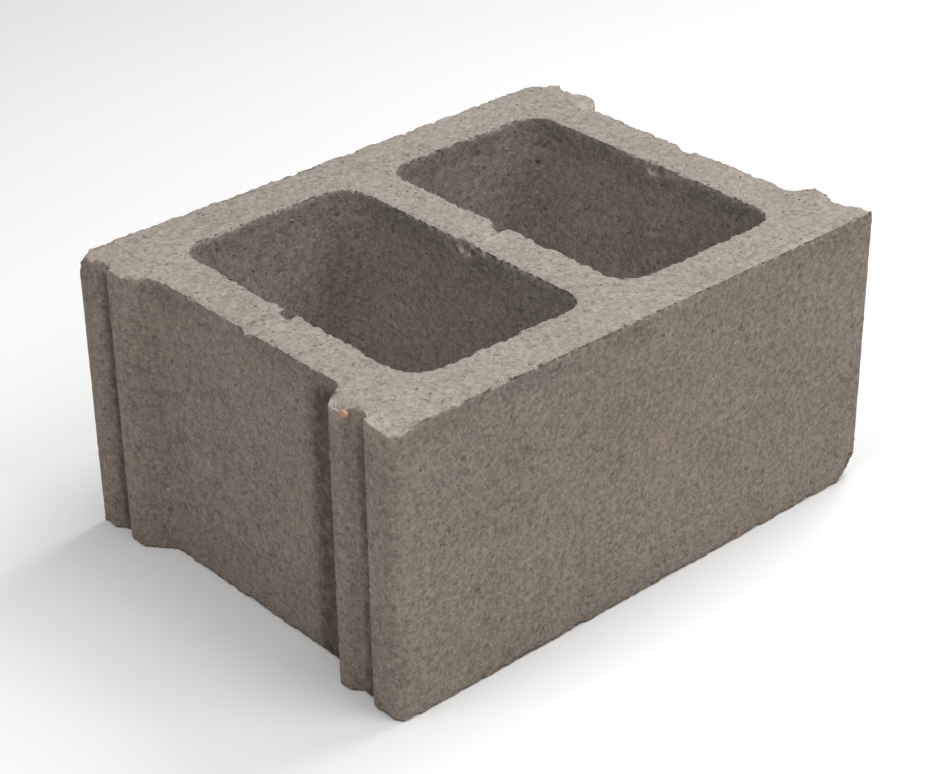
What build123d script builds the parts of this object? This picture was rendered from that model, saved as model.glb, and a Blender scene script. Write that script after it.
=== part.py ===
"""A 12 inch two-core hollow concrete block, cast in one piece.

Millimetres, +Z up. The origin is the middle of the bottom face, X runs along
the length and Y from the front face shell to the rear one.
"""

import os
from collections import namedtuple

from build123d import *

Ear = namedtuple("Ear", "arris land outer_slope floor inner_slope ridge flank")

# Overall size
LENGTH = 397.0
WIDTH = 295.0
HEIGHT = 194.0

# Walls, measured at the top face, where the cores are widest
FACE_SHELL = 38.0
END_WEB = 34.5
CENTRE_WEB = 33.0
CORE_CORNER_RADIUS = 18.0
CORE_DRAFT = 3.0  # how much narrower each side of a core is at the bottom

# Ends: two ears with a recessed panel between them. From the outer face inwards
# an ear is a rounded arris, a land, a groove (slope, floor, slope), a ridge and a
# flank that falls to the panel. The mould is worn, so each ear has its own sizes.
END_RECESS = 14.5
GROOVE_DEPTH = 5.0
EARS = {
    ("left", "front"): Ear(
        arris=8.0, land=24.5, outer_slope=2.5, floor=13.0, inner_slope=4.5, ridge=10.5, flank=6.0
    ),
    ("left", "rear"): Ear(
        arris=2.0, land=13.5, outer_slope=7.0, floor=7.5, inner_slope=2.5, ridge=14.0, flank=17.0
    ),
    ("right", "front"): Ear(
        arris=2.0, land=11.0, outer_slope=8.0, floor=10.0, inner_slope=11.0, ridge=8.5, flank=8.0
    ),
    ("right", "rear"): Ear(
        arris=2.0, land=12.5, outer_slope=7.0, floor=10.0, inner_slope=10.5, ridge=7.5, flank=14.0
    ),
}

# Rounding of the other upright arrises
GROOVE_ARRIS = 1.0
RIDGE_ARRIS = 2.5
FLANK_FOOT = 6.0

# Marks the core bar leaves along the top of the three webs
BAR_Y = -2.0
BAR_WIDTH = 11.0
BAR_DEPTH = 2.0
BAR_NICK = 4.0
BAR_NICK_DEPTH = 8.0

# Corners knocked off: length lost along X, Y and Z
CHIPS = {
    ("right", "front", "bottom"): (16.0, 9.0, 15.0),
    ("right", "rear", "top"): (22.0, 13.0, 10.0),
    ("left", "rear", "top"): (10.0, 8.0, 9.0),
    ("left", "front", "top"): (24.0, 20.0, 6.0),
}
SIDE = {"left": -1, "right": 1, "front": -1, "rear": 1, "bottom": -1, "top": 1}

CORE_LENGTH = (LENGTH - 2 * END_RECESS - 2 * END_WEB - CENTRE_WEB) / 2
CORE_WIDTH = WIDTH - 2 * FACE_SHELL
CORE_X = (CENTRE_WEB + CORE_LENGTH) / 2


def ear_profile(ear):
    """Points of one ear as (distance in from the outer face, depth, rounding)."""
    steps = (
        (0.0, 0.0, ear.arris),
        (ear.land, 0.0, GROOVE_ARRIS),
        (ear.outer_slope, GROOVE_DEPTH, GROOVE_ARRIS),
        (ear.floor, GROOVE_DEPTH, GROOVE_ARRIS),
        (ear.inner_slope, 0.0, GROOVE_ARRIS),
        (ear.ridge, 0.0, RIDGE_ARRIS),
        (ear.flank, END_RECESS, FLANK_FOOT),
    )
    points, inward = [], 0.0
    for step, depth, rounding in steps:
        inward += step
        points.append((inward, depth, rounding))
    return points


def outline():
    """The outline of the block seen from above, with its arrises rounded."""
    points = []
    for end, sides in (("left", ("front", "rear")), ("right", ("rear", "front"))):
        for side in sides:
            ear = [
                (SIDE[end] * (LENGTH / 2 - depth), SIDE[side] * (WIDTH / 2 - inward), rounding)
                for inward, depth, rounding in ear_profile(EARS[end, side])
            ]
            starts_at_face = (end, side) in (("left", "front"), ("right", "rear"))
            points += ear if starts_at_face else ear[::-1]
    sketch = make_face(Polyline([(x, y) for x, y, _ in points], close=True))
    for rounding in sorted({r for _, _, r in points}):
        places = [Vector(x, y, 0) for x, y, r in points if r == rounding]
        corners = [v for v in sketch.vertices() if any((v.center() - p).length < 1e-4 for p in places)]
        sketch = fillet(corners, rounding)
    return sketch


def core(x):
    """One drafted core, standing through the full height at x."""
    top = Pos(x, 0, HEIGHT) * RectangleRounded(CORE_LENGTH, CORE_WIDTH, CORE_CORNER_RADIUS)
    bottom = Pos(x, 0, 0) * RectangleRounded(
        CORE_LENGTH - 2 * CORE_DRAFT, CORE_WIDTH - 2 * CORE_DRAFT, CORE_CORNER_RADIUS - CORE_DRAFT
    )
    return loft([bottom, top], ruled=True)


def bar_marks():
    """The groove over the webs and the nicks it leaves in their core sides."""
    hang = (Align.CENTER, Align.CENTER, Align.MAX)
    marks = [Pos(0, BAR_Y, HEIGHT) * Box(LENGTH, BAR_WIDTH, BAR_DEPTH, align=hang)]
    for x in (-CORE_X, CORE_X):
        nick = Box(CORE_LENGTH + 2 * BAR_NICK, BAR_WIDTH, BAR_NICK_DEPTH, align=hang)
        marks.append(Pos(x, BAR_Y, HEIGHT) * nick)
    return marks


def knocked_off(place, lost):
    """The space beyond the sloping face where a corner is knocked off."""
    end, side, level = place
    corner = Vector(SIDE[end] * LENGTH / 2, SIDE[side] * WIDTH / 2, HEIGHT if level == "top" else 0)
    normal = Vector(SIDE[end] / lost[0], SIDE[side] / lost[1], SIDE[level] / lost[2])
    on_edge = corner - Vector(0, 0, SIDE[level] * lost[2])
    beyond = 2 * max(lost)
    return Plane(origin=on_edge, z_dir=normal) * Box(
        2 * beyond, 2 * beyond, beyond, align=(Align.CENTER, Align.CENTER, Align.MIN)
    )


block = extrude(outline(), HEIGHT)
block -= [core(x) for x in (-CORE_X, CORE_X)]
block -= bar_marks()
block -= [knocked_off(place, lost) for place, lost in CHIPS.items()]
block = block.solid()
block.label = "block"

os.makedirs("parts", exist_ok=True)
export_step(block, "parts/block.step")
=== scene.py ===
"""A weathered two-core hollow concrete block on a pale studio floor.

The casting is remade from the CAD solid with worn arrises, pits, knocks and
exposed stones, and is finished in a procedural dry-cast concrete.
"""

import math

import bmesh
import bpy
from bpy.props import (
    FloatProperty,
    FloatVectorProperty,
    IntProperty,
    PointerProperty,
)
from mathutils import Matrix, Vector, noise


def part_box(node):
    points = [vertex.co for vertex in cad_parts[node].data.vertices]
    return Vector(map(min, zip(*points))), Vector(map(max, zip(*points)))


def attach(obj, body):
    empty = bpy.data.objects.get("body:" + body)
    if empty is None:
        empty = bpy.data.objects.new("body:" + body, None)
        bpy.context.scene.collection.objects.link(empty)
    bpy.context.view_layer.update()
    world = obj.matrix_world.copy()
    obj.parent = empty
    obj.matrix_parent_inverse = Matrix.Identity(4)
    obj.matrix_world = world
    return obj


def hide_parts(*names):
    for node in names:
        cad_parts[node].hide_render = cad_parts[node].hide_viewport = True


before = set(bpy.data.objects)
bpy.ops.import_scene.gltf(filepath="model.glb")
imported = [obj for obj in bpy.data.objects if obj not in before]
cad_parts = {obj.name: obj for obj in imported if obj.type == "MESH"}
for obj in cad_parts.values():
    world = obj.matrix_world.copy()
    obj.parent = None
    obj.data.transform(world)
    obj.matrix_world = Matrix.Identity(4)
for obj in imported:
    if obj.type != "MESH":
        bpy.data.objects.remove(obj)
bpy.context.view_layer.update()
BLOCK_LOW, BLOCK_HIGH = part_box("block")

bl_info = {
    "name": "Concrete Block",
    "version": (1, 0, 0),
    "blender": (4, 5, 0),
    "location": "3D View > Sidebar > Concrete Block",
    "description": "Weathers a hollow concrete block and sets it in a studio",
    "category": "Object",
}

MM = 0.001

# Knocks in the casting, in millimetres: where the middle of the bite is, and
# how far it reaches
KNOCKS = (
    # Centre web, where the core bar was drawn
    ((-13.5, -7.8, 181.0), 4.6),
    ((-14.5, -8.6, 177.0), 2.9),
    ((-13.5, -8.0, 191.5), 4.4),
    ((-14.0, 0.4, 191.0), 4.0),
    ((-14.6, -19.8, 189.5), 3.2),
    ((-14.8, -20.4, 185.0), 2.9),
    ((-14.8, -21.3, 181.5), 2.9),
    ((-15.0, -21.5, 196.0), 3.6),
    ((-15.4, -35.3, 189.0), 2.6),
    ((-15.9, -33.0, 181.1), 1.9),
    ((-15.9, -36.5, 179.2), 1.9),
    ((-15.9, -40.0, 177.4), 1.9),
    ((-15.9, -43.6, 175.6), 1.9),
    ((-15.0, -47.2, 197.0), 4.0),
    ((-19.0, 2.0, 198.0), 5.4),
    ((19.0, -6.0, 197.5), 5.0),
    # Left end web
    ((-186.0, -4.3, 197.5), 4.6),
    ((-186.0, -20.1, 196.5), 3.8),
    ((-185.7, -19.4, 189.9), 2.6),
    ((-185.5, -14.4, 184.6), 2.3),
    ((-185.9, -27.8, 192.0), 2.8),
    ((-185.9, -79.1, 192.4), 3.0),
    ((-185.7, 45.9, 192.6), 2.6),
    ((-185.7, -20.6, 159.9), 2.5),
    ((-185.5, -10.8, 154.8), 2.2),
    # Outer corners and arrises
    ((-202.0, 146.0, 184.0), 6.0),
    ((-202.0, 150.0, 14.0), 7.0),
    ((-201.0, 121.0, -3.0), 6.0),
    ((-187.0, 84.0, -3.0), 5.5),
    ((190.0, 92.0, 198.0), 6.0),
    ((189.0, 60.0, 198.0), 5.6),
    ((189.0, 14.0, 198.0), 6.0),
    ((189.0, -30.0, 198.5), 6.0),
    ((200.0, -118.0, 199.0), 9.0),
    ((188.0, 150.0, 199.0), 9.0),
    ((150.0, 154.0, 199.0), 8.0),
    ((-182.0, -151.0, -3.0), 6.5),
    ((181.0, -152.0, -2.0), 7.5),
    ((196.0, -152.0, 12.0), 9.0),
)

# Dips worn into the top face, in millimetres: place, reach and depth
DIPS = (
    ((-201.0, -100.0), 21.0, 7.5),
    ((-196.0, -134.0), 18.0, 3.5),
    ((-197.0, 122.0), 11.0, 3.5),
    ((186.0, 92.0), 15.0, 3.5),
    ((190.0, -118.0), 14.0, 3.0),
    ((2.0, -8.0), 13.0, 1.5),
    ((-166.0, -9.0), 11.0, 1.5),
)

# What the painted shade leaves of the red, green and blue of the concrete under it
PAINTED_SHADE_TINT = (0.42, 0.40, 0.38)

# How far the cores reach from the middle along X and Y, in millimetres
CORES_REACH = (155.0, 113.0)

# Upright creases of the ends, darkened with painted shade: place and reach in millimetres, and strength
CREASES = (
    ((-185.0, -76.0), 24.0, 1.15),
    ((-193.5, -119.5), 11.0, 1.0),
    ((-193.5, 122.5), 8.3, 1.25),
    ((-186.0, 82.0), 22.0, 0.12),
    ((193.0, 120.0), 9.0, 1.0),
    ((184.0, 84.0), 13.0, 0.5),
    ((193.0, -122.0), 9.0, 1.0),
    ((184.0, -89.0), 14.0, 0.8),
)

# Soft lights: where each one hangs and its width in metres, and its strength in watts
SOFT_LIGHTS = {
    "overhead": ((0.0, 0.0, 2.2), 1.5, 16.4),
    "front": ((0.5, -1.4, 1.9), 1.2, 20.0),
    "front left": ((-0.8, -1.8, 1.3), 0.8, 3.0),
    "right": ((1.4, 0.0, 1.9), 1.2, 29.0),
    "left": ((-1.4, 0.0, 1.9), 1.2, 15.5),
}

# How much each layer lightens the concrete, or darkens it where negative
TONE_SHARES = {
    "clumps": 0.3,
    "blotches": 0.35,
    "streaks": 0.15,
    "wear": 0.2,
    "rubbed": 0.32,
    "rim": -0.16,
}

# Share of the dark colour, painted shade, in the shader's gaps and pits, and in the modelled pits
GAP_DARKNESS, FINE_PIT_DARKNESS, PIT_DARKNESS = 0.6, 0.7, 0.55

# The browner patches of paste, against the plain paste
BROWNER = (1.0, 0.985, 0.965)

SPECULAR_LEVEL = 0.25

# The camera's place in metres, and its turns in degrees
CAMERA_PLACE = (-0.8947, -0.9906, 0.8499)
CAMERA_TURNS = (60.127, 0.559, -42.214)

LIGHTS_FACE = Vector((0.0, 0.0, 0.1))
FLOOR_HALF_WIDTH = 6.0
ROOM_GLOW = 0.01

# How uneven a pebble is, and how many lumps it has across
PEBBLE_SWELL, PEBBLE_LUMPS = 0.35, 1.3

# Pebbles that stand out: middle and reach in millimetres, and colour
PEBBLES = (
    ((-196.4, -105.4, 187.6), (2.2, 3.1, 2.6), (0.42, 0.20, 0.115)),
    ((-190.5, 141.5, 190.6), (2.6, 2.8, 1.9), (0.33, 0.21, 0.17)),
    ((-179.5, 143.2, 191.5), (2.8, 2.4, 1.8), (0.22, 0.21, 0.15)),
    ((16.0, -11.5, 191.4), (1.3, 1.5, 1.1), (0.62, 0.34, 0.20)),
)


class CastingSettings(bpy.types.PropertyGroup):
    """How worn and how rough the casting is."""

    grid: FloatProperty(
        name="Grid",
        description="Spacing of the grid that the casting is rebuilt on",
        default=1.25 * MM,
        unit="LENGTH",
    )
    triangles: IntProperty(
        name="Triangles",
        description="Triangles that the finished casting may have",
        default=192000,
    )
    waviness: FloatProperty(
        name="Waviness",
        description="Depth of the slow waves over the moulded walls",
        default=0.5 * MM,
        unit="LENGTH",
    )
    grain: FloatProperty(
        name="Grain",
        description="Depth of the coarse grain on the moulded walls",
        default=0.5 * MM,
        unit="LENGTH",
    )
    top_grain: FloatProperty(
        name="Top grain",
        description="Depth of the coarse grain on the open top face",
        default=0.8 * MM,
        unit="LENGTH",
    )
    arris_wear: FloatProperty(
        name="Arris wear",
        description="Deepest bite out of a sharp arris",
        default=2.8 * MM,
        unit="LENGTH",
    )
    arris_reach: FloatProperty(
        name="Arris reach",
        description="How far from a sharp arris the wear reaches",
        default=5.0 * MM,
        unit="LENGTH",
    )
    pits_per_square_metre: FloatProperty(
        name="Pits",
        description="Air pits on each square metre of surface",
        default=1500.0,
    )
    smallest_pit: FloatProperty(
        name="Smallest pit",
        description="Radius of the smallest air pit",
        default=1.0 * MM,
        unit="LENGTH",
    )
    largest_pit: FloatProperty(
        name="Largest pit",
        description="Radius of the largest air pit",
        default=2.4 * MM,
        unit="LENGTH",
    )


class StoneSettings(bpy.types.PropertyGroup):
    """The sand and gravel that shows in the surface."""

    per_square_metre: FloatProperty(
        name="Stones",
        description="Exposed stones on each square metre of surface",
        default=7500.0,
    )
    smallest: FloatProperty(
        name="Smallest stone",
        description="Radius of the smallest exposed stone",
        default=0.4 * MM,
        unit="LENGTH",
    )
    largest: FloatProperty(
        name="Largest stone",
        description="Radius of the largest exposed stone",
        default=1.4 * MM,
        unit="LENGTH",
    )


class ConcreteColours(bpy.types.PropertyGroup):
    """The colours of the concrete."""

    paste: FloatVectorProperty(
        name="Paste",
        description="Colour of the cement paste on the moulded walls",
        subtype="COLOR",
        default=(0.272, 0.227, 0.186),
        min=0.0,
        max=1.0,
    )
    top: FloatVectorProperty(
        name="Top",
        description="Colour of the paste on the open top face",
        subtype="COLOR",
        default=(0.312, 0.272, 0.233),
        min=0.0,
        max=1.0,
    )
    # The cores are paler than the paste, partly painted light for the light that bounces round them
    cores: FloatVectorProperty(
        name="Cores",
        description="Colour of the paste on the walls of the cores",
        subtype="COLOR",
        default=(0.312, 0.272, 0.234),
        min=0.0,
        max=1.0,
    )
    pale: FloatVectorProperty(
        name="Pale grain",
        description="Colour of the palest sand and of fresh breaks",
        subtype="COLOR",
        default=(0.46, 0.415, 0.365),
        min=0.0,
        max=1.0,
    )
    # The dark colour is painted shade in the pits and gaps between the grains
    dark: FloatVectorProperty(
        name="Pit and gap shade",
        description="Colour in the pits and gaps between the grains",
        subtype="COLOR",
        default=(0.115, 0.092, 0.072),
        min=0.0,
        max=1.0,
    )


class StudioSettings(bpy.types.PropertyGroup):
    """The floor, the lights and the camera."""

    floor: FloatVectorProperty(
        name="Floor",
        description="Colour of the studio floor",
        subtype="COLOR",
        default=(0.94, 0.94, 0.94),
        min=0.0,
        max=1.0,
    )
    brightness: FloatProperty(
        name="Brightness",
        description="Share of each soft light's full strength",
        default=1.0,
    )
    lens: FloatProperty(
        name="Lens",
        description="Focal length of the camera",
        default=91.31,
        unit="CAMERA",
    )


class ConcreteBlockSettings(bpy.types.PropertyGroup):
    """All the settings of the block and its studio."""

    casting: PointerProperty(type=CastingSettings)
    stones: PointerProperty(type=StoneSettings)
    colours: PointerProperty(type=ConcreteColours)
    studio: PointerProperty(type=StudioSettings)


def settings():
    """The block's settings, which live on the scene."""
    return bpy.context.scene.concrete_block


class Wiring:
    """A node tree being wired up. Each call adds a node and gives its result."""

    def __init__(self, tree):
        self.tree = tree

    def add(self, kind, inputs=None, **choices):
        made = self.tree.nodes.new(kind)
        for name, value in choices.items():
            setattr(made, name, value)
        for socket, value in (inputs or {}).items():
            if isinstance(value, bpy.types.NodeSocket):
                self.tree.links.new(value, made.inputs[socket])
            else:
                made.inputs[socket].default_value = value
        return made

    def math(self, operation, a, b=0.0, c=0.0, clamp=False):
        inputs = {0: a, 1: b, 2: c} if operation == "MULTIPLY_ADD" else {0: a, 1: b}
        return self.add("ShaderNodeMath", inputs, operation=operation, use_clamp=clamp).outputs[0]

    def vector(self, operation, a, b=(0.0, 0.0, 0.0)):
        made = self.add("ShaderNodeVectorMath", {0: a, 1: b}, operation=operation)
        return made.outputs["Value" if operation in ("LENGTH", "DISTANCE", "DOT_PRODUCT") else "Vector"]

    def scaled(self, vector, factor):
        made = self.add("ShaderNodeVectorMath", {0: vector, "Scale": factor}, operation="SCALE")
        return made.outputs["Vector"]

    def ramp(self, value, low, high, to_low=0.0, to_high=1.0, kind="SMOOTHSTEP"):
        made = self.add(
            "ShaderNodeMapRange",
            {"Value": value, "From Min": low, "From Max": high, "To Min": to_low, "To Max": to_high},
            interpolation_type=kind,
        )
        return made.outputs["Result"]

    def noise(self, at, wavelength, detail=2.0, roughness=0.5, output="Fac"):
        made = self.add(
            "ShaderNodeTexNoise",
            {"Vector": at, "Scale": 1.0 / wavelength, "Detail": detail, "Roughness": roughness},
        )
        return made.outputs[0 if output == "Fac" else 1]

    def sized_noise(self, at, size, detail, roughness):
        scale = self.math("DIVIDE", 1.0, size)
        made = self.add(
            "ShaderNodeTexNoise", {"Vector": at, "Scale": scale, "Detail": detail, "Roughness": roughness}
        )
        return made.outputs[0]

    def mix(self, factor, a, b, blend="MIX"):
        made = self.add(
            "ShaderNodeMix",
            {0: factor, 6: a, 7: b},
            data_type="RGBA",
            blend_type=blend,
            clamp_factor=True,
        )
        return made.outputs[2]

    def parts(self, vector):
        return self.add("ShaderNodeSeparateXYZ", {0: vector}).outputs

    def joined(self, x, y, z):
        return self.add("ShaderNodeCombineXYZ", {0: x, 1: y, 2: z}).outputs[0]

    def attribute(self, name):
        made = self.add("GeometryNodeInputNamedAttribute", {"Name": name}, data_type="FLOAT")
        return made.outputs[0]

    def store(self, geometry, name, value, domain="POINT"):
        made = self.add(
            "GeometryNodeStoreNamedAttribute",
            {"Geometry": geometry, "Name": name, "Value": value},
            data_type="FLOAT",
            domain=domain,
        )
        return made.outputs[0]

    def move(self, geometry, **where):
        return self.add("GeometryNodeSetPosition", {"Geometry": geometry, **where}).outputs[0]

    def blurred(self, value, times):
        made = self.add(
            "GeometryNodeBlurAttribute", {"Value": value, "Iterations": times}, data_type="FLOAT_VECTOR"
        )
        return made.outputs[0]

    def helper(self, chosen):
        return self.add("GeometryNodeObjectInfo", {"Object": chosen}).outputs["Geometry"]


def new_geometry_tree(name, inputs):
    """A geometry tree with a mesh in, a mesh out and named inputs."""
    tree = bpy.data.node_groups.new(name, "GeometryNodeTree")
    tree.interface.new_socket("Geometry", in_out="INPUT", socket_type="NodeSocketGeometry")
    for label, kind in inputs:
        tree.interface.new_socket(label, in_out="INPUT", socket_type=kind)
    tree.interface.new_socket("Geometry", in_out="OUTPUT", socket_type="NodeSocketGeometry")
    return tree, Wiring(tree)


def run_tree(piece, tree, values):
    """Runs a geometry tree on a piece and turns its result into a plain mesh."""
    modifier = piece.modifiers.new(tree.name, "NODES")
    modifier.node_group = tree
    for item in tree.interface.items_tree:
        if item.item_type == "SOCKET" and item.in_out == "INPUT" and item.name in values:
            modifier[item.identifier] = values[item.name]
    bake_modifiers(piece)


def bake_modifiers(piece):
    """Turns a piece and its modifiers into a plain mesh."""
    graph = bpy.context.evaluated_depsgraph_get()
    mesh = bpy.data.meshes.new_from_object(
        piece.evaluated_get(graph), preserve_all_data_layers=True, depsgraph=graph
    )
    piece.modifiers.clear()
    old = piece.data
    piece.data = mesh
    mesh.name = piece.name
    if old.users == 0:
        bpy.data.meshes.remove(old)


def keep_inside(piece):
    """Brings every point of a piece inside the block's own box."""
    for vertex in piece.data.vertices:
        vertex.co = [max(a, min(v, b)) for a, v, b in zip(BLOCK_LOW, vertex.co, BLOCK_HIGH)]


def new_piece(name, mesh):
    """An object at the origin that holds a mesh."""
    piece = bpy.data.objects.new(name, mesh)
    bpy.context.scene.collection.objects.link(piece)
    return piece


def merged_copy(name, node):
    """A copy of a CAD node's mesh with its loose triangles joined up."""
    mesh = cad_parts[node].data.copy()
    mesh.name = name
    mesh.materials.clear()
    work = bmesh.new()
    work.from_mesh(mesh)
    bmesh.ops.remove_doubles(work, verts=work.verts, dist=0.005 * MM)
    work.to_mesh(mesh)
    work.free()
    return new_piece(name, mesh)


def sharp_arrises(solid, least_angle=math.radians(35)):
    """A wire of the solid's sharp outward edges."""
    work = bmesh.new()
    work.from_mesh(solid.data)
    work.faces.ensure_lookup_table()
    kept = [
        edge
        for edge in work.edges
        if len(edge.link_faces) == 2 and edge.is_convex and edge.calc_face_angle(0.0) > least_angle
    ]
    points, wires = [], []
    for edge in kept:
        first = len(points)
        points.extend(vertex.co.copy() for vertex in edge.verts)
        wires.append((first, first + 1))
    work.free()
    mesh = bpy.data.meshes.new("sharp_arrises")
    mesh.from_pydata(points, wires, [])
    return new_piece("sharp_arrises", mesh)


def helper_points(name, places, numbers):
    """A helper mesh of points in millimetres, with named numbers on them."""
    mesh = bpy.data.meshes.new(name)
    mesh.from_pydata([Vector(place) * MM for place in places], [], [])
    for label, values in numbers.items():
        data = mesh.attributes.new(label, "FLOAT", "POINT").data
        data.foreach_set("value", [value * MM for value in values])
    return new_piece(name, mesh)


def knock_points():
    """The knocks, with each one's reach."""
    places, reaches = zip(*KNOCKS)
    return helper_points("knocks", places, {"reach": reaches})


def dip_points():
    """The dips, each on the top face, with its reach and depth."""
    top = BLOCK_HIGH[2] / MM
    places, reaches, depths = zip(*DIPS)
    return helper_points(
        "dips", [(x, y, top) for x, y in places], {"reach": reaches, "depth": depths}
    )


def crease_points(step=6.0):
    """The creases as upright rows of points, with each one's reach and strength."""
    rows = range(int(BLOCK_HIGH[2] / MM / step) + 1)
    places = [(x, y, step * row) for (x, y), _, _ in CREASES for row in rows]
    reaches = [reach for _, reach, _ in CREASES for _ in rows]
    strengths = [strength / MM for _, _, strength in CREASES for _ in rows]
    return helper_points("creases", places, {"reach": reaches, "strength": strengths})


def from_nearest(w, points, at, wanted):
    """Attributes of the helper point that is nearest to a place."""
    nearest = w.add(
        "GeometryNodeSampleNearest", {"Geometry": points, "Sample Position": at}, domain="POINT"
    ).outputs[0]
    results = []
    for name in wanted:
        if name == "position":
            value, kind = w.add("GeometryNodeInputPosition").outputs[0], "FLOAT_VECTOR"
        else:
            value, kind = w.attribute(name), "FLOAT"
        results.append(
            w.add(
                "GeometryNodeSampleIndex",
                {"Geometry": points, "Value": value, "Index": nearest},
                data_type=kind,
                domain="POINT",
            ).outputs[0]
        )
    return results


def flat_distance(w, a, b):
    """The distance between two places seen from above."""
    return w.vector("LENGTH", w.vector("MULTIPLY", w.vector("SUBTRACT", a, b), (1.0, 1.0, 0.0)))


def push_out(w, position, points, ragged, most_ragged):
    """The way out of the nearest point's ball, and the share of its reach that it is."""
    middle, size = from_nearest(w, points, position, ("position", "reach"))
    away = w.vector("SUBTRACT", position, middle)
    distance = w.vector("LENGTH", away)
    ball = w.math("MULTIPLY_ADD", w.math("MINIMUM", size, most_ragged), ragged, size)
    shortfall = w.math("MAXIMUM", w.math("SUBTRACT", ball, distance), 0.0)
    return w.scaled(w.vector("NORMALIZE", away), shortfall), w.math("DIVIDE", shortfall, size)


def finish_tree(w, geometry, position, given):
    """Keeps the geometry inside the solid's own box, gives it its material and ends the tree."""
    above = w.vector("MAXIMUM", position, given["Low corner"])
    kept = w.move(geometry, Position=w.vector("MINIMUM", above, given["High corner"]))
    finished = w.add("GeometryNodeSetMaterial", {"Geometry": kept, "Material": given["Material"]})
    w.add("NodeGroupOutput", {"Geometry": finished.outputs[0]})


def weathering_tree():
    """Wears, pits and roughens a solid, and keeps it inside its own box."""
    tree, w = new_geometry_tree(
        "Weathered casting",
        [
            ("Arrises", "NodeSocketObject"),
            ("Knocks", "NodeSocketObject"),
            ("Dips", "NodeSocketObject"),
            ("Creases", "NodeSocketObject"),
            ("Waviness", "NodeSocketFloat"),
            ("Grain", "NodeSocketFloat"),
            ("Top grain", "NodeSocketFloat"),
            ("Arris wear", "NodeSocketFloat"),
            ("Arris reach", "NodeSocketFloat"),
            ("Pits", "NodeSocketFloat"),
            ("Smallest pit", "NodeSocketFloat"),
            ("Largest pit", "NodeSocketFloat"),
            ("Low corner", "NodeSocketVector"),
            ("High corner", "NodeSocketVector"),
            ("Material", "NodeSocketMaterial"),
        ],
    )
    given = w.add("NodeGroupInput").outputs
    position = w.add("GeometryNodeInputPosition").outputs[0]
    normal = w.add("GeometryNodeInputNormal").outputs[0]
    smooth_normal = w.blurred(normal, 2)

    # Worn arrises: a ragged bite that fades with distance from the arris
    distance = w.add(
        "GeometryNodeProximity", {"Geometry": w.helper(given["Arrises"])}, target_element="EDGES"
    ).outputs["Distance"]
    near = w.math("SUBTRACT", 1.0, w.math("DIVIDE", distance, given["Arris reach"]), clamp=True)
    near = w.math("POWER", near, 1.5)
    crumbs = w.ramp(w.noise(position, 6 * MM, 3.0, 0.7), 0.42, 0.62)
    bites = w.ramp(w.noise(position, 20 * MM, 2.0), 0.50, 0.68)
    ragged = w.math("MULTIPLY_ADD", bites, 0.45, w.math("MULTIPLY_ADD", crumbs, 0.5, 0.08))
    wear = w.math("MULTIPLY", near, ragged)
    wear_depth = w.math("MULTIPLY", wear, given["Arris wear"])

    # Slow waves and coarse grain, rougher on the open top face
    waves = w.math("MULTIPLY", w.noise(position, 95 * MM, 1.0), given["Waviness"])
    top = w.ramp(w.parts(normal)[2], 0.5, 0.9)
    grain_depth = w.math(
        "MULTIPLY_ADD", top, w.math("SUBTRACT", given["Top grain"], given["Grain"]), given["Grain"]
    )
    lumps = w.ramp(w.noise(position, 6.5 * MM, 2.5, 0.6), 0.25, 0.75, kind="LINEAR")
    grain = w.math("MULTIPLY", w.math("SUBTRACT", 1.0, lumps), grain_depth)

    inward = w.math("ADD", w.math("ADD", waves, grain), wear_depth)
    moved = w.move(given["Geometry"], Offset=w.scaled(smooth_normal, w.math("MULTIPLY", inward, -1.0)))
    moved = w.store(moved, "wear", wear)

    # Air pits, scattered over the worn surface
    scattered = w.add(
        "GeometryNodeDistributePointsOnFaces",
        {"Mesh": moved, "Distance Min": 6 * MM, "Density Max": given["Pits"], "Seed": 4},
        distribute_method="POISSON",
    ).outputs
    chance = w.add("FunctionNodeRandomValue", {"Seed": 11}, data_type="FLOAT").outputs[1]
    small_bias = w.math("POWER", chance, 2.5)
    pit_size = w.math(
        "MULTIPLY_ADD",
        small_bias,
        w.math("SUBTRACT", given["Largest pit"], given["Smallest pit"]),
        given["Smallest pit"],
    )
    pits = w.store(scattered["Points"], "reach", pit_size)
    lift = w.math("MULTIPLY", w.attribute("reach"), 0.45)
    pits = w.move(pits, Offset=w.scaled(scattered["Normal"], lift))
    uneven = w.ramp(w.noise(position, 3 * MM, 1.0), 0.3, 0.7, -0.25, 0.15)
    pit_offset, pit_share = push_out(w, position, pits, uneven, 1.0)
    moved = w.move(w.store(moved, "pit", pit_share), Offset=pit_offset)

    # Knocks, with broken, uneven edges
    broken = w.ramp(w.noise(position, 6 * MM, 2.0, 0.6), 0.3, 0.7, -0.35, 0.2)
    knock_offset, _ = push_out(w, position, w.helper(given["Knocks"]), broken, 8 * MM)
    moved = w.move(moved, Offset=knock_offset)

    # Dips worn into the top face
    end, _, ceiling = w.parts(given["High corner"])
    here = w.parts(position)
    above = w.joined(here[0], here[1], ceiling)
    middle, dip_reach, dip_depth = from_nearest(
        w, w.helper(given["Dips"]), above, ("position", "reach", "depth")
    )
    within = w.ramp(w.math("DIVIDE", flat_distance(w, position, middle), dip_reach), 1.0, 0.0)
    scuff = w.math("MULTIPLY", w.ramp(w.noise(position, 9 * MM, 3.0, 0.6), 0.3, 0.7, 0.75, 1.1), within)
    lowered = w.math("SUBTRACT", ceiling, w.math("MULTIPLY", scuff, dip_depth))
    lowered = w.math("MINIMUM", here[2], lowered)
    worn = w.joined(here[0], here[1], lowered)
    below = w.math("SUBTRACT", ceiling, here[2])
    rubbed = w.math("MULTIPLY", within, w.ramp(below, 30 * MM, 4 * MM))
    rubbed = w.math("MULTIPLY", rubbed, w.ramp(w.noise(position, 7 * MM, 3.0, 0.6), 0.35, 0.65, 0.3, 1.3))
    moved = w.move(w.store(moved, "rubbed", rubbed), Position=worn)
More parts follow.
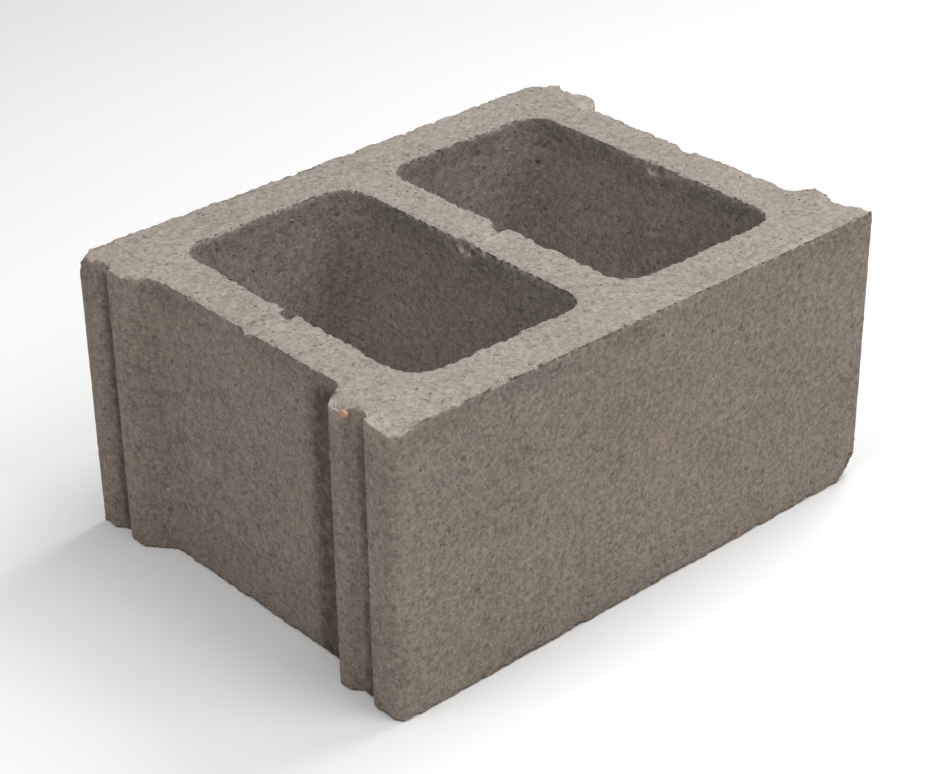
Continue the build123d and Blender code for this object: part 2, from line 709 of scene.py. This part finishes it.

    # Painted shade, darker where the surface is hollow and along the creases of the ends
    hollow = w.vector("DOT_PRODUCT", w.vector("SUBTRACT", w.blurred(position, 7), position), normal)
    line, crease_reach, strength = from_nearest(
        w, w.helper(given["Creases"]), position, ("position", "reach", "strength")
    )
    near = w.ramp(w.math("DIVIDE", flat_distance(w, position, line), crease_reach), 1.0, 0.4)
    depth = w.math("SUBTRACT", end, w.math("ABSOLUTE", here[0]))
    near = w.math("MULTIPLY", near, w.math("MULTIPLY", strength, w.ramp(depth, 1.2 * MM, 3.0 * MM)))
    near = w.math("MULTIPLY", near, w.ramp(below, 3 * MM, 16 * MM))
    near = w.math("MULTIPLY", near, w.ramp(w.noise(position, 5 * MM, 3.0, 0.7), 0.3, 0.7, 0.45, 1.2))
    grime = w.math("MAXIMUM", w.math("MULTIPLY", w.ramp(hollow, 0.08 * MM, 0.6 * MM), 0.5), near)
    moved = w.store(moved, "grime", grime)

    realized = w.add("GeometryNodeRealizeInstances", {"Geometry": moved}).outputs[0]
    finish_tree(w, realized, position, given)
    return tree


def exposed_stones_tree():
    """Scatters small stones over a surface, each one half sunk in it."""
    tree, w = new_geometry_tree(
        "Exposed stones",
        [
            ("Stones", "NodeSocketFloat"),
            ("Smallest stone", "NodeSocketFloat"),
            ("Largest stone", "NodeSocketFloat"),
            ("Low corner", "NodeSocketVector"),
            ("High corner", "NodeSocketVector"),
            ("Material", "NodeSocketMaterial"),
        ],
    )
    given = w.add("NodeGroupInput").outputs
    position = w.add("GeometryNodeInputPosition").outputs[0]
    # Fewer stones where the painted shade lies
    unshaded = w.math("SUBTRACT", 1.0, w.math("MULTIPLY", w.attribute("grime"), 2.0), clamp=True)
    scattered = w.add(
        "GeometryNodeDistributePointsOnFaces",
        {
            "Mesh": given["Geometry"],
            "Distance Min": 2.5 * MM,
            "Density Max": given["Stones"],
            "Density Factor": unshaded,
            "Seed": 21,
        },
        distribute_method="POISSON",
    ).outputs
    kinds = w.add("GeometryNodeJoinGeometry")
    for shape in range(4):
        ball = w.add("GeometryNodeMeshIcoSphere", {"Radius": 1.0, "Subdivisions": 1}).outputs[0]
        place = w.vector("ADD", position, (7.3 * shape, 0.0, 0.0))
        uneven = w.vector("SUBTRACT", w.noise(place, 1.1, 1.0, output="Color"), (0.5, 0.5, 0.5))
        lump = w.move(ball, Offset=w.scaled(uneven, 0.9))
        stone = w.add("GeometryNodeGeometryToInstance", {"Geometry": lump}).outputs[0]
        tree.links.new(stone, kinds.inputs[0])
    spin = w.add(
        "FunctionNodeRandomValue",
        {0: (-0.4, -0.4, -3.14), 1: (0.4, 0.4, 3.14), "Seed": 5},
        data_type="FLOAT_VECTOR",
    ).outputs[0]
    turned = w.add(
        "FunctionNodeRotateRotation",
        {"Rotation": scattered["Rotation"], "Rotate By": spin},
        rotation_space="LOCAL",
    ).outputs[0]
    chance = w.add("FunctionNodeRandomValue", {"Seed": 8}, data_type="FLOAT").outputs[1]
    radius = w.math(
        "MULTIPLY_ADD",
        w.math("POWER", chance, 2.2),
        w.math("SUBTRACT", given["Largest stone"], given["Smallest stone"]),
        given["Smallest stone"],
    )
    squash = w.add(
        "FunctionNodeRandomValue",
        {0: (0.8, 0.8, 0.35), 1: (1.25, 1.25, 0.7), "Seed": 6},
        data_type="FLOAT_VECTOR",
    ).outputs[0]
    placed = w.add(
        "GeometryNodeInstanceOnPoints",
        {
            "Points": scattered["Points"],
            "Instance": kinds.outputs[0],
            "Pick Instance": True,
            "Rotation": turned,
            "Scale": w.scaled(squash, radius),
        },
    ).outputs[0]
    tone = w.add("FunctionNodeRandomValue", {"Seed": 9}, data_type="FLOAT").outputs[1]
    placed = w.store(placed, "tone", tone, domain="INSTANCE")
    realized = w.add("GeometryNodeRealizeInstances", {"Geometry": placed}).outputs[0]
    finish_tree(w, realized, position, given)
    return tree


def sand_group():
    """Sandy grain, gaps, pits and specks, shared by the concrete and by the stones in it."""
    name = "Sandy grain"
    if name in bpy.data.node_groups:
        return bpy.data.node_groups[name]
    tree = bpy.data.node_groups.new(name, "ShaderNodeTree")
    tree.interface.new_socket("Vector", in_out="INPUT", socket_type="NodeSocketVector")
    for label, default in (("Grain size", 1.4 * MM), ("Gap size", 4.4 * MM), ("Pit spacing", 4.6 * MM)):
        socket = tree.interface.new_socket(label, in_out="INPUT", socket_type="NodeSocketFloat")
        socket.default_value = default
    for label in ("Tone", "Gaps", "Pits", "Specks", "Height"):
        tree.interface.new_socket(label, in_out="OUTPUT", socket_type="NodeSocketFloat")
    w = Wiring(tree)
    given = w.add("NodeGroupInput").outputs
    at = given["Vector"]

    # Grains of two sizes, and how light each one is
    fine = w.sized_noise(at, given["Grain size"], 1.5, 0.6)
    coarse = w.sized_noise(at, w.math("MULTIPLY", given["Grain size"], 2.4), 2.0, 0.6)
    grains = w.add(
        "ShaderNodeTexVoronoi",
        {"Vector": at, "Scale": w.math("DIVIDE", 0.8, given["Grain size"])},
        feature="F1",
    ).outputs
    shade = w.add("ShaderNodeSeparateColor", {0: grains["Color"]}).outputs[0]
    tone = w.math("ADD", fine, w.math("MULTIPLY_ADD", coarse, 0.9, -0.95))
    tone = w.math("MULTIPLY_ADD", w.math("SUBTRACT", shade, 0.5), 0.3, tone)

    # Short wandering gaps between the grains
    wander = w.math("ABSOLUTE", w.math("SUBTRACT", w.sized_noise(at, given["Gap size"], 1.5, 0.5), 0.5))
    away = w.vector("ADD", at, (0.31, 0.17, 0.43))
    where = w.ramp(w.sized_noise(away, given["Gap size"], 1.0, 0.5), 0.52, 0.62)
    gaps = w.math("MULTIPLY", w.ramp(wander, 0.045, 0.0), where)

    # Pits and specks, one to a cell, with uneven outlines
    warp = w.vector("SUBTRACT", w.noise(at, 2.2 * MM, 2.0, output="Color"), (0.5, 0.5, 0.5))
    bent = w.vector("ADD", at, w.scaled(warp, 2.2 * MM))
    cells = w.add(
        "ShaderNodeTexVoronoi",
        {"Vector": bent, "Scale": w.math("DIVIDE", 1.0, given["Pit spacing"])},
        feature="F1",
    ).outputs
    pick = w.add("ShaderNodeSeparateColor", {0: cells["Color"]}).outputs
    pit_size = w.ramp(pick[0], 0.5, 1.0, 0.04, 0.2, kind="LINEAR")
    pits = w.ramp(w.math("DIVIDE", cells["Distance"], pit_size), 1.0, 0.3)
    pits = w.math("MULTIPLY", pits, w.ramp(pick[0], 0.5, 0.55))
    speck_size = w.ramp(pick[1], 0.7, 1.0, 0.04, 0.15, kind="LINEAR")
    specks = w.ramp(w.math("DIVIDE", cells["Distance"], speck_size), 1.0, 0.4)
    specks = w.math("MULTIPLY", specks, w.ramp(pick[1], 0.7, 0.75))
    specks = w.math("MULTIPLY", specks, w.ramp(pick[0], 0.5, 0.45))

    # The height is made from the same noises as the tone, so the low grain is also the darker grain:
    # grain tone with painted shade in its hollows
    height = w.math("MULTIPLY_ADD", coarse, 1.2, fine)
    height = w.math("MULTIPLY_ADD", gaps, -0.35, height)
    height = w.math("MULTIPLY_ADD", pits, -0.8, height)
    outputs = {"Tone": tone, "Gaps": gaps, "Pits": pits, "Specks": specks, "Height": height}
    w.add("NodeGroupOutput", outputs)
    return tree


def add_sand(w, at, grain_size):
    """The sandy grain at a place, as the outputs of its group."""
    sand = w.add("ShaderNodeGroup", node_tree=sand_group())
    w.tree.links.new(at, sand.inputs["Vector"])
    sand.inputs["Grain size"].default_value = grain_size
    return sand.outputs


def new_material(name):
    """A material with only a Principled shader, and its wiring."""
    material = bpy.data.materials.new(name)
    material.use_nodes = True
    tree = material.node_tree
    for node in list(tree.nodes):
        if node.type != "BSDF_PRINCIPLED" and node.type != "OUTPUT_MATERIAL":
            tree.nodes.remove(node)
    w = Wiring(tree)
    shader = next(node for node in tree.nodes if node.type == "BSDF_PRINCIPLED")
    return material, w, shader


def concrete_material(colours):
    """Dry-cast concrete: mottled paste, sand, gaps, pits and rubbed arrises, with painted shade in the
    pits, gaps, hollows and creases.
    """
    material, w, shader = new_material("dry-cast concrete")
    at = w.add("ShaderNodeTexCoord").outputs["Object"]
    facing = w.parts(w.add("ShaderNodeNewGeometry").outputs["Normal"])
    top = w.ramp(facing[2], 0.45, 0.85)
    wear, pit, grime, rubbed = (
        w.add("ShaderNodeAttribute", attribute_name=name).outputs["Fac"]
        for name in ("wear", "pit", "grime", "rubbed")
    )
    sand = add_sand(w, at, 1.8 * MM)
    place = w.parts(at)

    # A dirty band under the rim of the moulded walls
    rim = w.ramp(place[2], BLOCK_HIGH[2] - 26 * MM, BLOCK_HIGH[2] - 6 * MM)
    rim = w.math("MULTIPLY", rim, w.ramp(w.noise(at, 45 * MM, 3.0, 0.6), 0.42, 0.62))
    rim = w.math("MULTIPLY", rim, w.math("SUBTRACT", 1.0, top))

    # The walls of the two cores, paler and greyer: partly the smoother face the steel cores leave, partly
    # painted light for the light that bounces round the cores
    inside = [
        w.math("LESS_THAN", w.math("ABSOLUTE", place[axis]), CORES_REACH[axis] * MM) for axis in (0, 1)
    ]
    in_core = w.math("MULTIPLY", w.math("MULTIPLY", *inside), w.math("SUBTRACT", 1.0, top))

    # Faint streaks that the mould leaves down the walls
    stretched = w.vector("MULTIPLY", at, (1.0, 1.0, 0.14))
    streaks = w.math("SUBTRACT", w.noise(stretched, 4 * MM, 2.0, 0.6), 0.5)
    streaks = w.math("MULTIPLY", streaks, w.math("SUBTRACT", 1.0, top))

    blotches = w.math("SUBTRACT", w.noise(at, 60 * MM, 3.0, 0.55), 0.5)
    clumps = w.math("SUBTRACT", w.noise(at, 8 * MM, 2.0, 0.6), 0.5)
    tint = w.noise(w.vector("ADD", at, (3.1, 1.7, 0.4)), 70 * MM, 2.0)

    tone = w.math("MULTIPLY_ADD", sand["Tone"], w.math("MULTIPLY_ADD", top, -0.2, 0.9), 1.0)
    layers = {
        "clumps": clumps,
        "blotches": blotches,
        "streaks": streaks,
        "wear": wear,
        "rubbed": rubbed,
        "rim": rim,
    }
    for name, share in TONE_SHARES.items():
        tone = w.math("MULTIPLY_ADD", layers[name], share, tone)
    browner = [part * share for part, share in zip(colours.paste, BROWNER)]
    paste = w.mix(w.ramp(tint, 0.35, 0.65), (*colours.paste, 1.0), (*browner, 1.0))
    paste = w.mix(in_core, paste, (*colours.cores, 1.0))
    paste = w.mix(top, paste, (*colours.top, 1.0))
    colour = w.scaled(paste, w.math("MAXIMUM", tone, 0.1))
    colour = w.mix(w.math("MULTIPLY", sand["Specks"], 0.4), colour, (*colours.pale, 1.0))
    # Painted shade in the gaps, the pits and the modelled pits
    gaps = w.math("MULTIPLY", sand["Gaps"], GAP_DARKNESS)
    hollow = w.math("MAXIMUM", gaps, w.math("MULTIPLY", sand["Pits"], FINE_PIT_DARKNESS))
    hollow = w.math("MAXIMUM", hollow, w.math("MULTIPLY", pit, PIT_DARKNESS))
    colour = w.mix(hollow, colour, (*colours.dark, 1.0))
    # Painted shade in the hollows and along the creases of the ends
    colour = w.mix(grime, colour, w.vector("MULTIPLY", colour, PAINTED_SHADE_TINT))
    w.tree.links.new(colour, shader.inputs["Base Color"])

    w.tree.links.new(w.ramp(tone, 0.7, 1.3, 0.98, 0.88), shader.inputs["Roughness"])
    shader.inputs["Specular IOR Level"].default_value = SPECULAR_LEVEL

    height = w.math("MULTIPLY_ADD", clumps, 1.2, sand["Height"])
    height = w.math("MULTIPLY_ADD", streaks, 0.2, height)
    bump = w.add("ShaderNodeBump", {"Strength": 1.0, "Distance": 0.3 * MM, "Height": height})
    w.tree.links.new(bump.outputs["Normal"], shader.inputs["Normal"])
    return material


def stone_material(colours):
    """Sand and gravel, each stone in its own tone of the paste."""
    material, w, shader = new_material("exposed sand")
    at = w.add("ShaderNodeTexCoord").outputs["Object"]
    tone = w.add("ShaderNodeAttribute", attribute_name="tone").outputs["Fac"]
    sand = add_sand(w, at, 0.9 * MM)
    ramp = w.add("ShaderNodeValToRGB", {0: tone})
    stops = (
        (0.0, tuple(0.70 * c for c in colours.paste)),
        (0.3, tuple(0.90 * c for c in colours.paste)),
        (0.8, tuple(1.15 * c for c in colours.paste)),
        (0.96, tuple(0.80 * c for c in colours.pale)),
        (1.0, tuple(colours.pale)),
    )
    elements = ramp.color_ramp.elements
    while len(elements) < len(stops):
        elements.new(0.5)
    for element, (place, colour) in zip(elements, stops):
        element.position = place
        element.color = (*colour, 1.0)
    colour = w.scaled(ramp.outputs[0], w.math("MULTIPLY_ADD", sand["Tone"], 0.6, 1.0))
    w.tree.links.new(colour, shader.inputs["Base Color"])
    w.tree.links.new(w.ramp(sand["Tone"], -0.3, 0.3, 0.95, 0.8), shader.inputs["Roughness"])
    shader.inputs["Specular IOR Level"].default_value = SPECULAR_LEVEL
    bump = w.add("ShaderNodeBump", {"Strength": 0.7, "Distance": 0.3 * MM, "Height": sand["Height"]})
    w.tree.links.new(bump.outputs["Normal"], shader.inputs["Normal"])
    return material


def pebble_material():
    """River pebbles, each in the colour its points hold."""
    material, w, shader = new_material("pebble")
    at = w.add("ShaderNodeTexCoord").outputs["Object"]
    own = w.add("ShaderNodeAttribute", attribute_name="pebble_colour").outputs["Color"]
    veins = w.noise(at, 1.6 * MM, 3.0, 0.6)
    colour = w.mix(w.ramp(veins, 0.3, 0.7, 0.0, 0.45), own, (0.55, 0.47, 0.36, 1.0))
    w.tree.links.new(colour, shader.inputs["Base Color"])
    w.tree.links.new(w.ramp(veins, 0.3, 0.7, 0.55, 0.75), shader.inputs["Roughness"])
    bump = w.add("ShaderNodeBump", {"Strength": 0.5, "Distance": 0.2 * MM, "Height": veins})
    w.tree.links.new(bump.outputs["Normal"], shader.inputs["Normal"])
    return material


def smooth(piece):
    """Shades every face of a piece smooth."""
    piece.data.polygons.foreach_set("use_smooth", [True] * len(piece.data.polygons))
    piece.data.update()


class BLOCK_OT_weather_casting(bpy.types.Operator):
    """Make the weathered casting that stands for the CAD block"""

    bl_idname = "block.weather_casting"
    bl_label = "Weather the casting"

    def execute(self, context):
        chosen = settings().casting
        casting = merged_copy("casting", "block")
        helpers = {
            "Arrises": sharp_arrises(casting),
            "Knocks": knock_points(),
            "Dips": dip_points(),
            "Creases": crease_points(),
        }
        remesh = casting.modifiers.new("Grid", "REMESH")
        remesh.mode = "VOXEL"
        remesh.voxel_size = chosen.grid
        bake_modifiers(casting)
        run_tree(
            casting,
            weathering_tree(),
            {
                **helpers,
                "Waviness": chosen.waviness,
                "Grain": chosen.grain,
                "Top grain": chosen.top_grain,
                "Arris wear": chosen.arris_wear,
                "Arris reach": chosen.arris_reach,
                "Pits": chosen.pits_per_square_metre,
                "Smallest pit": chosen.smallest_pit,
                "Largest pit": chosen.largest_pit,
                "Low corner": tuple(BLOCK_LOW),
                "High corner": tuple(BLOCK_HIGH),
                "Material": concrete_material(settings().colours),
            },
        )
        thin = casting.modifiers.new("Thin", "DECIMATE")
        triangles_now = 2 * len(casting.data.polygons)  # The grid is of four-sided faces
        thin.ratio = chosen.triangles / triangles_now
        thin.use_collapse_triangulate = True
        bake_modifiers(casting)
        keep_inside(casting)
        smooth(casting)
        for helper in helpers.values():
            bpy.data.objects.remove(helper)
        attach(casting, "root")
        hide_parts("block")
        return {"FINISHED"}


class BLOCK_OT_expose_stones(bpy.types.Operator):
    """Scatter the small stones that show in the casting's surface"""

    bl_idname = "block.expose_stones"
    bl_label = "Expose the stones"

    def execute(self, context):
        chosen = settings().stones
        stones = new_piece("exposed_sand", bpy.data.objects["casting"].data.copy())
        run_tree(
            stones,
            exposed_stones_tree(),
            {
                "Stones": chosen.per_square_metre,
                "Smallest stone": chosen.smallest,
                "Largest stone": chosen.largest,
                "Low corner": tuple(BLOCK_LOW),
                "High corner": tuple(BLOCK_HIGH),
                "Material": stone_material(settings().colours),
            },
        )
        smooth(stones)
        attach(stones, "root")
        return {"FINISHED"}


class BLOCK_OT_set_pebbles(bpy.types.Operator):
    """Set the few coloured pebbles in the casting"""

    bl_idname = "block.set_pebbles"
    bl_label = "Set the pebbles"

    def execute(self, context):
        work = bmesh.new()
        colours = []
        for place, reach, colour in PEBBLES:
            made = bmesh.ops.create_icosphere(work, subdivisions=3, radius=1.0)
            for vertex in made["verts"]:
                lumps = noise.noise(vertex.co * PEBBLE_LUMPS + Vector(place))
                swell = 1.0 + PEBBLE_SWELL * lumps
                vertex.co = [(p + r * c * swell) * MM for p, r, c in zip(place, reach, vertex.co)]
            colours.extend([colour] * len(made["verts"]))
        mesh = bpy.data.meshes.new("pebbles")
        work.to_mesh(mesh)
        work.free()
        paint = mesh.attributes.new("pebble_colour", "FLOAT_COLOR", "POINT")
        for point, colour in zip(paint.data, colours):
            point.color = (*colour, 1.0)
        pebbles = new_piece("pebbles", mesh)
        keep_inside(pebbles)
        pebbles.data.materials.append(pebble_material())
        smooth(pebbles)
        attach(pebbles, "root")
        return {"FINISHED"}


class BLOCK_OT_build_studio(bpy.types.Operator):
    """Lay the floor, hang the lights and set up the camera"""

    bl_idname = "block.build_studio"
    bl_label = "Build the studio"

    def execute(self, context):
        chosen = settings().studio
        lay_floor(chosen)
        for name, (place, size, watts) in SOFT_LIGHTS.items():
            hang_light(name, place, size, watts * chosen.brightness)
        world = bpy.data.worlds.new("Room")
        world.use_nodes = True
        glow = world.node_tree.nodes["Background"].inputs
        glow["Color"].default_value = (1.0, 1.0, 1.0, 1.0)
        glow["Strength"].default_value = ROOM_GLOW
        context.scene.world = world
        camera = bpy.data.objects.new("camera", bpy.data.cameras.new("camera"))
        camera.data.sensor_width = 36.0
        camera.data.lens = chosen.lens
        camera.data.clip_end = 50.0
        camera.location = CAMERA_PLACE
        camera.rotation_euler = [math.radians(turn) for turn in CAMERA_TURNS]
        context.scene.collection.objects.link(camera)
        context.scene.camera = camera
        context.scene.view_settings.view_transform = "Standard"
        return {"FINISHED"}


def lay_floor(chosen):
    """A plain pale floor under the block."""
    half = FLOOR_HALF_WIDTH
    corners = [(-half, -half, 0), (half, -half, 0), (half, half, 0), (-half, half, 0)]
    mesh = bpy.data.meshes.new("floor")
    mesh.from_pydata(corners, [], [(0, 1, 2, 3)])
    floor = new_piece("floor", mesh)
    material, w, shader = new_material("studio floor")
    at = w.add("ShaderNodeTexCoord").outputs["Object"]
    cloud = w.noise(at, 0.8, 2.0)
    pale = tuple(chosen.floor)
    colour = w.mix(w.ramp(cloud, 0.3, 0.7), (*pale, 1.0), (*(0.99 * c for c in pale), 1.0))
    w.tree.links.new(colour, shader.inputs["Base Color"])
    shader.inputs["Roughness"].default_value = 0.8
    mesh.materials.append(material)


def hang_light(name, place, size, watts):
    """A square soft light at a place, facing the middle of the block."""
    lamp = bpy.data.lights.new(name, "AREA")
    lamp.shape = "SQUARE"
    lamp.size = size
    lamp.energy = watts
    light = bpy.data.objects.new(name, lamp)
    light.location = place
    light.rotation_euler = (Vector(place) - LIGHTS_FACE).to_track_quat("Z", "Y").to_euler()
    bpy.context.scene.collection.objects.link(light)


class BLOCK_PT_panel(bpy.types.Panel):
    """The block's settings and makers, in the 3D view's sidebar"""

    bl_idname = "BLOCK_PT_panel"
    bl_label = "Concrete Block"
    bl_space_type = "VIEW_3D"
    bl_region_type = "UI"
    bl_category = "Concrete Block"

    def draw(self, context):
        block = context.scene.concrete_block
        for operator, group in (
            (BLOCK_OT_weather_casting, block.casting),
            (BLOCK_OT_expose_stones, block.stones),
            (BLOCK_OT_set_pebbles, block.colours),
            (BLOCK_OT_build_studio, block.studio),
        ):
            box = self.layout.box()
            box.operator(operator.bl_idname)
            for name in group.__annotations__:
                box.prop(group, name)


CLASSES = (
    CastingSettings,
    StoneSettings,
    ConcreteColours,
    StudioSettings,
    ConcreteBlockSettings,
    BLOCK_OT_weather_casting,
    BLOCK_OT_expose_stones,
    BLOCK_OT_set_pebbles,
    BLOCK_OT_build_studio,
    BLOCK_PT_panel,
)


def register():
    for cls in CLASSES:
        bpy.utils.register_class(cls)
    bpy.types.Scene.concrete_block = PointerProperty(type=ConcreteBlockSettings)


def unregister():
    del bpy.types.Scene.concrete_block
    for cls in reversed(CLASSES):
        bpy.utils.unregister_class(cls)


def main():
    """Makes the block and its studio."""
    register()
    bpy.ops.block.weather_casting()
    bpy.ops.block.expose_stones()
    bpy.ops.block.set_pebbles()
    bpy.ops.block.build_studio()
    bpy.context.view_layer.update()


if __name__ == "__main__":
    main()
